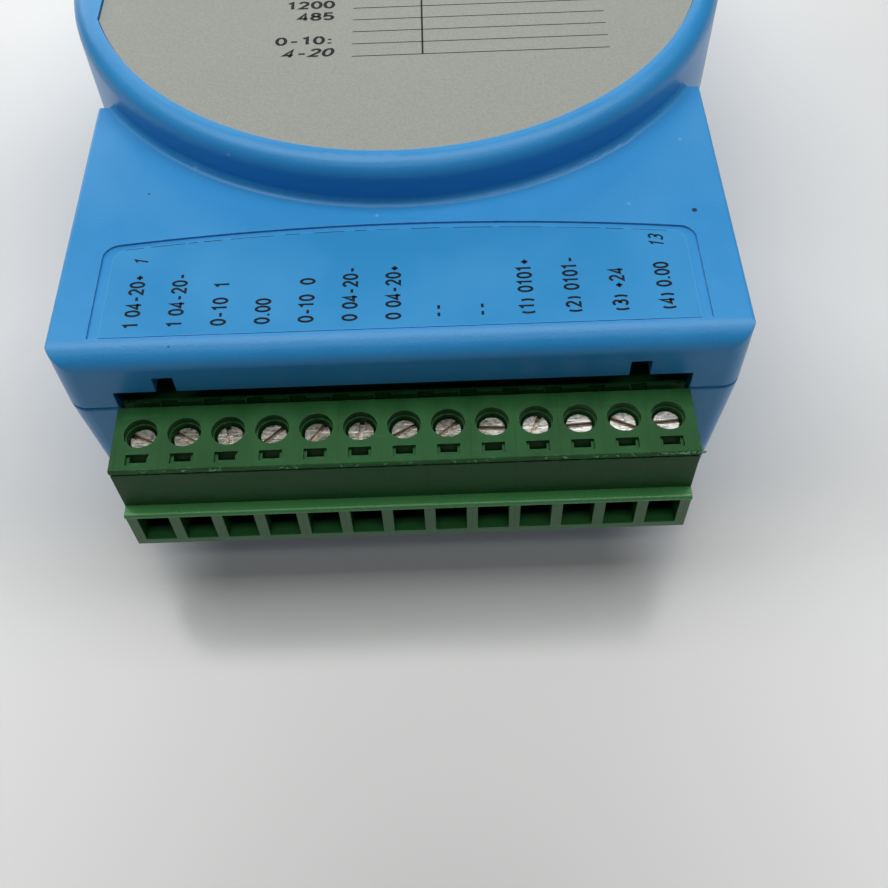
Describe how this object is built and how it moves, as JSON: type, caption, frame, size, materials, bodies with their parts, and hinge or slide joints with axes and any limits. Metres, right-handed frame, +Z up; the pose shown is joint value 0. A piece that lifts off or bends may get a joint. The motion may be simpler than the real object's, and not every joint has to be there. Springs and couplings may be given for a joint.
{
  "type": "industrial analogue output module",
  "caption": "Flat two-shell module case with a raised round centre and a pluggable screw-terminal strip at each end.",
  "frame": {"origin": "middle of the flat base that rests on the surface", "axes": "+X along the terminal strips, +Y from the front plug to the rear plug (the long way), +Z up out of the label"},
  "size_m": [0.0684, 0.1188, 0.0302],
  "materials": {
    "case_blue": "fine satin moulded ABS, mid blue",
    "label_grey": "embossed polycarbonate label film, warm grey, dark print",
    "legend_film": "thin satin film over the case blue, near-black print",
    "plug_green": "moulded polyamide, dark green, slightly waxy",
    "header_green": "moulded polyamide, darker green",
    "screw_nickel": "nickel plated, scratched by drivers, stained slot",
    "screw_steel": "zinc plated pan head",
    "clamp_steel": "plated pressed steel",
    "contact_tin": "tinned copper alloy",
    "insert_brass": "knurled brass",
    "board_green": "green solder resist over glass-epoxy board",
    "chip_black": "moulded epoxy",
    "converter_black": "potted module case",
    "capacitor_sleeve": "shrink sleeve",
    "lamp_clear": "clear acrylic light pipe, unlit green lamp"
  },
  "bodies": {
    "case": {"top_case": "case_blue", "bottom_case": "case_blue", "face_label": "label_grey", "terminal_legends": "legend_film", "case_screws": "screw_steel", "mounting_inserts": "insert_brass", "circuit_board": "board_green", "board_chips": "chip_black", "power_converter": "converter_black", "capacitors": "capacitor_sleeve", "status_light": "lamp_clear", "front_header": "header_green", "rear_header": "header_green", "header_pins": "contact_tin"},
    "front_plug": {"front_plug_body": "plug_green", "front_plug_cover": "plug_green", "front_plug_contacts": "contact_tin"},
    "rear_plug": {"rear_plug_body": "plug_green", "rear_plug_cover": "plug_green", "rear_plug_contacts": "contact_tin"},
    "rear_clamp_set": {"rear_clamps": "clamp_steel"},
    "front_screw_1": {"front_screw_1": "screw_nickel"},
    "front_screw_2": {"front_screw_2": "screw_nickel"},
    "front_screw_3": {"front_screw_3": "screw_nickel"},
    "front_screw_4": {"front_screw_4": "screw_nickel"},
    "front_screw_5": {"front_screw_5": "screw_nickel"},
    "front_screw_6": {"front_screw_6": "screw_nickel"},
    "front_screw_7": {"front_screw_7": "screw_nickel"},
    "front_screw_8": {"front_screw_8": "screw_nickel"},
    "front_screw_9": {"front_screw_9": "screw_nickel"},
    "front_screw_10": {"front_screw_10": "screw_nickel"},
    "front_screw_11": {"front_screw_11": "screw_nickel"},
    "front_screw_12": {"front_screw_12": "screw_nickel"},
    "front_screw_13": {"front_screw_13": "screw_nickel"},
    "rear_screw_1": {"rear_screw_1": "screw_nickel"},
    "rear_screw_2": {"rear_screw_2": "screw_nickel"},
    "rear_screw_3": {"rear_screw_3": "screw_nickel"},
    "rear_screw_4": {"rear_screw_4": "screw_nickel"},
    "rear_screw_5": {"rear_screw_5": "screw_nickel"},
    "rear_screw_6": {"rear_screw_6": "screw_nickel"},
    "rear_screw_7": {"rear_screw_7": "screw_nickel"},
    "rear_screw_8": {"rear_screw_8": "screw_nickel"},
    "rear_screw_9": {"rear_screw_9": "screw_nickel"},
    "rear_screw_10": {"rear_screw_10": "screw_nickel"},
    "rear_screw_11": {"rear_screw_11": "screw_nickel"},
    "rear_screw_12": {"rear_screw_12": "screw_nickel"},
    "rear_screw_13": {"rear_screw_13": "screw_nickel"},
    "front_clamp_1": {"front_clamp_1": "clamp_steel"},
    "front_clamp_2": {"front_clamp_2": "clamp_steel"},
    "front_clamp_3": {"front_clamp_3": "clamp_steel"},
    "front_clamp_4": {"front_clamp_4": "clamp_steel"},
    "front_clamp_5": {"front_clamp_5": "clamp_steel"},
    "front_clamp_6": {"front_clamp_6": "clamp_steel"},
    "front_clamp_7": {"front_clamp_7": "clamp_steel"},
    "front_clamp_8": {"front_clamp_8": "clamp_steel"},
    "front_clamp_9": {"front_clamp_9": "clamp_steel"},
    "front_clamp_10": {"front_clamp_10": "clamp_steel"},
    "front_clamp_11": {"front_clamp_11": "clamp_steel"},
    "front_clamp_12": {"front_clamp_12": "clamp_steel"},
    "front_clamp_13": {"front_clamp_13": "clamp_steel"}
  },
  "joints": [
    {"name": "front_plug_pull", "type": "slide", "parent": "case", "child": "front_plug", "axis": [0, -1, 0], "range_m": [0, 0.012]},
    {"name": "rear_plug_pull", "type": "slide", "parent": "case", "child": "rear_plug", "axis": [0, 1, 0], "range_m": [0, 0.012]},
    {"name": "rear_clamps_lift", "type": "slide", "parent": "rear_plug", "child": "rear_clamp_set", "axis": [0, 0, 1], "range_m": [0, 0.0024]},
    {"name": "front_screw_1_turn", "type": "hinge", "parent": "front_plug", "child": "front_screw_1", "pos_m": [-0.02286, -0.05446, 0.0165], "axis": [0, 0, -1], "range_deg": [0, 2160]},
    {"name": "front_screw_2_turn", "type": "hinge", "parent": "front_plug", "child": "front_screw_2", "pos_m": [-0.01905, -0.05446, 0.0165], "axis": [0, 0, -1], "range_deg": [0, 2160]},
    {"name": "front_screw_3_turn", "type": "hinge", "parent": "front_plug", "child": "front_screw_3", "pos_m": [-0.01524, -0.05446, 0.0165], "axis": [0, 0, -1], "range_deg": [0, 2160]},
    {"name": "front_screw_4_turn", "type": "hinge", "parent": "front_plug", "child": "front_screw_4", "pos_m": [-0.01143, -0.05446, 0.0165], "axis": [0, 0, -1], "range_deg": [0, 2160]},
    {"name": "front_screw_5_turn", "type": "hinge", "parent": "front_plug", "child": "front_screw_5", "pos_m": [-0.00762, -0.05446, 0.0165], "axis": [0, 0, -1], "range_deg": [0, 2160]},
    {"name": "front_screw_6_turn", "type": "hinge", "parent": "front_plug", "child": "front_screw_6", "pos_m": [-0.00381, -0.05446, 0.0165], "axis": [0, 0, -1], "range_deg": [0, 2160]},
    {"name": "front_screw_7_turn", "type": "hinge", "parent": "front_plug", "child": "front_screw_7", "pos_m": [0, -0.05446, 0.0165], "axis": [0, 0, -1], "range_deg": [0, 2160]},
    {"name": "front_screw_8_turn", "type": "hinge", "parent": "front_plug", "child": "front_screw_8", "pos_m": [0.00381, -0.05446, 0.0165], "axis": [0, 0, -1], "range_deg": [0, 2160]},
    {"name": "front_screw_9_turn", "type": "hinge", "parent": "front_plug", "child": "front_screw_9", "pos_m": [0.00762, -0.05446, 0.0165], "axis": [0, 0, -1], "range_deg": [0, 2160]},
    {"name": "front_screw_10_turn", "type": "hinge", "parent": "front_plug", "child": "front_screw_10", "pos_m": [0.01143, -0.05446, 0.0165], "axis": [0, 0, -1], "range_deg": [0, 2160]},
    {"name": "front_screw_11_turn", "type": "hinge", "parent": "front_plug", "child": "front_screw_11", "pos_m": [0.01524, -0.05446, 0.0165], "axis": [0, 0, -1], "range_deg": [0, 2160]},
    {"name": "front_screw_12_turn", "type": "hinge", "parent": "front_plug", "child": "front_screw_12", "pos_m": [0.01905, -0.05446, 0.0165], "axis": [0, 0, -1], "range_deg": [0, 2160]},
    {"name": "front_screw_13_turn", "type": "hinge", "parent": "front_plug", "child": "front_screw_13", "pos_m": [0.02286, -0.05446, 0.0165], "axis": [0, 0, -1], "range_deg": [0, 2160]},
    {"name": "rear_screw_1_turn", "type": "hinge", "parent": "rear_plug", "child": "rear_screw_1", "pos_m": [0.02286, 0.05446, 0.0165], "axis": [0, 0, -1], "range_deg": [0, 2160]},
    {"name": "rear_screw_2_turn", "type": "hinge", "parent": "rear_plug", "child": "rear_screw_2", "pos_m": [0.01905, 0.05446, 0.0165], "axis": [0, 0, -1], "range_deg": [0, 2160]},
    {"name": "rear_screw_3_turn", "type": "hinge", "parent": "rear_plug", "child": "rear_screw_3", "pos_m": [0.01524, 0.05446, 0.0165], "axis": [0, 0, -1], "range_deg": [0, 2160]},
    {"name": "rear_screw_4_turn", "type": "hinge", "parent": "rear_plug", "child": "rear_screw_4", "pos_m": [0.01143, 0.05446, 0.0165], "axis": [0, 0, -1], "range_deg": [0, 2160]},
    {"name": "rear_screw_5_turn", "type": "hinge", "parent": "rear_plug", "child": "rear_screw_5", "pos_m": [0.00762, 0.05446, 0.0165], "axis": [0, 0, -1], "range_deg": [0, 2160]},
    {"name": "rear_screw_6_turn", "type": "hinge", "parent": "rear_plug", "child": "rear_screw_6", "pos_m": [0.00381, 0.05446, 0.0165], "axis": [0, 0, -1], "range_deg": [0, 2160]},
    {"name": "rear_screw_7_turn", "type": "hinge", "parent": "rear_plug", "child": "rear_screw_7", "pos_m": [0, 0.05446, 0.0165], "axis": [0, 0, -1], "range_deg": [0, 2160]},
    {"name": "rear_screw_8_turn", "type": "hinge", "parent": "rear_plug", "child": "rear_screw_8", "pos_m": [-0.00381, 0.05446, 0.0165], "axis": [0, 0, -1], "range_deg": [0, 2160]},
    {"name": "rear_screw_9_turn", "type": "hinge", "parent": "rear_plug", "child": "rear_screw_9", "pos_m": [-0.00762, 0.05446, 0.0165], "axis": [0, 0, -1], "range_deg": [0, 2160]},
    {"name": "rear_screw_10_turn", "type": "hinge", "parent": "rear_plug", "child": "rear_screw_10", "pos_m": [-0.01143, 0.05446, 0.0165], "axis": [0, 0, -1], "range_deg": [0, 2160]},
    {"name": "rear_screw_11_turn", "type": "hinge", "parent": "rear_plug", "child": "rear_screw_11", "pos_m": [-0.01524, 0.05446, 0.0165], "axis": [0, 0, -1], "range_deg": [0, 2160]},
    {"name": "rear_screw_12_turn", "type": "hinge", "parent": "rear_plug", "child": "rear_screw_12", "pos_m": [-0.01905, 0.05446, 0.0165], "axis": [0, 0, -1], "range_deg": [0, 2160]},
    {"name": "rear_screw_13_turn", "type": "hinge", "parent": "rear_plug", "child": "rear_screw_13", "pos_m": [-0.02286, 0.05446, 0.0165], "axis": [0, 0, -1], "range_deg": [0, 2160]},
    {"name": "front_clamp_1_lift", "type": "slide", "parent": "front_plug", "child": "front_clamp_1", "axis": [0, 0, 1], "range_m": [0, 0.0024]},
    {"name": "front_clamp_2_lift", "type": "slide", "parent": "front_plug", "child": "front_clamp_2", "axis": [0, 0, 1], "range_m": [0, 0.0024]},
    {"name": "front_clamp_3_lift", "type": "slide", "parent": "front_plug", "child": "front_clamp_3", "axis": [0, 0, 1], "range_m": [0, 0.0024]},
    {"name": "front_clamp_4_lift", "type": "slide", "parent": "front_plug", "child": "front_clamp_4", "axis": [0, 0, 1], "range_m": [0, 0.0024]},
    {"name": "front_clamp_5_lift", "type": "slide", "parent": "front_plug", "child": "front_clamp_5", "axis": [0, 0, 1], "range_m": [0, 0.0024]},
    {"name": "front_clamp_6_lift", "type": "slide", "parent": "front_plug", "child": "front_clamp_6", "axis": [0, 0, 1], "range_m": [0, 0.0024]},
    {"name": "front_clamp_7_lift", "type": "slide", "parent": "front_plug", "child": "front_clamp_7", "axis": [0, 0, 1], "range_m": [0, 0.0024]},
    {"name": "front_clamp_8_lift", "type": "slide", "parent": "front_plug", "child": "front_clamp_8", "axis": [0, 0, 1], "range_m": [0, 0.0024]},
    {"name": "front_clamp_9_lift", "type": "slide", "parent": "front_plug", "child": "front_clamp_9", "axis": [0, 0, 1], "range_m": [0, 0.0024]},
    {"name": "front_clamp_10_lift", "type": "slide", "parent": "front_plug", "child": "front_clamp_10", "axis": [0, 0, 1], "range_m": [0, 0.0024]},
    {"name": "front_clamp_11_lift", "type": "slide", "parent": "front_plug", "child": "front_clamp_11", "axis": [0, 0, 1], "range_m": [0, 0.0024]},
    {"name": "front_clamp_12_lift", "type": "slide", "parent": "front_plug", "child": "front_clamp_12", "axis": [0, 0, 1], "range_m": [0, 0.0024]},
    {"name": "front_clamp_13_lift", "type": "slide", "parent": "front_plug", "child": "front_clamp_13", "axis": [0, 0, 1], "range_m": [0, 0.0024]}
  ],
  "couplings": [
    {"joint": "front_screw_1_turn", "follows": "front_clamp_1_lift", "rad_per_m": 15708},
    {"joint": "front_screw_2_turn", "follows": "front_clamp_2_lift", "rad_per_m": 15708},
    {"joint": "front_screw_3_turn", "follows": "front_clamp_3_lift", "rad_per_m": 15708},
    {"joint": "front_screw_4_turn", "follows": "front_clamp_4_lift", "rad_per_m": 15708},
    {"joint": "front_screw_5_turn", "follows": "front_clamp_5_lift", "rad_per_m": 15708},
    {"joint": "front_screw_6_turn", "follows": "front_clamp_6_lift", "rad_per_m": 15708},
    {"joint": "front_screw_7_turn", "follows": "front_clamp_7_lift", "rad_per_m": 15708},
    {"joint": "front_screw_8_turn", "follows": "front_clamp_8_lift", "rad_per_m": 15708},
    {"joint": "front_screw_9_turn", "follows": "front_clamp_9_lift", "rad_per_m": 15708},
    {"joint": "front_screw_10_turn", "follows": "front_clamp_10_lift", "rad_per_m": 15708},
    {"joint": "front_screw_11_turn", "follows": "front_clamp_11_lift", "rad_per_m": 15708},
    {"joint": "front_screw_12_turn", "follows": "front_clamp_12_lift", "rad_per_m": 15708},
    {"joint": "front_screw_13_turn", "follows": "front_clamp_13_lift", "rad_per_m": 15708}
  ]
}
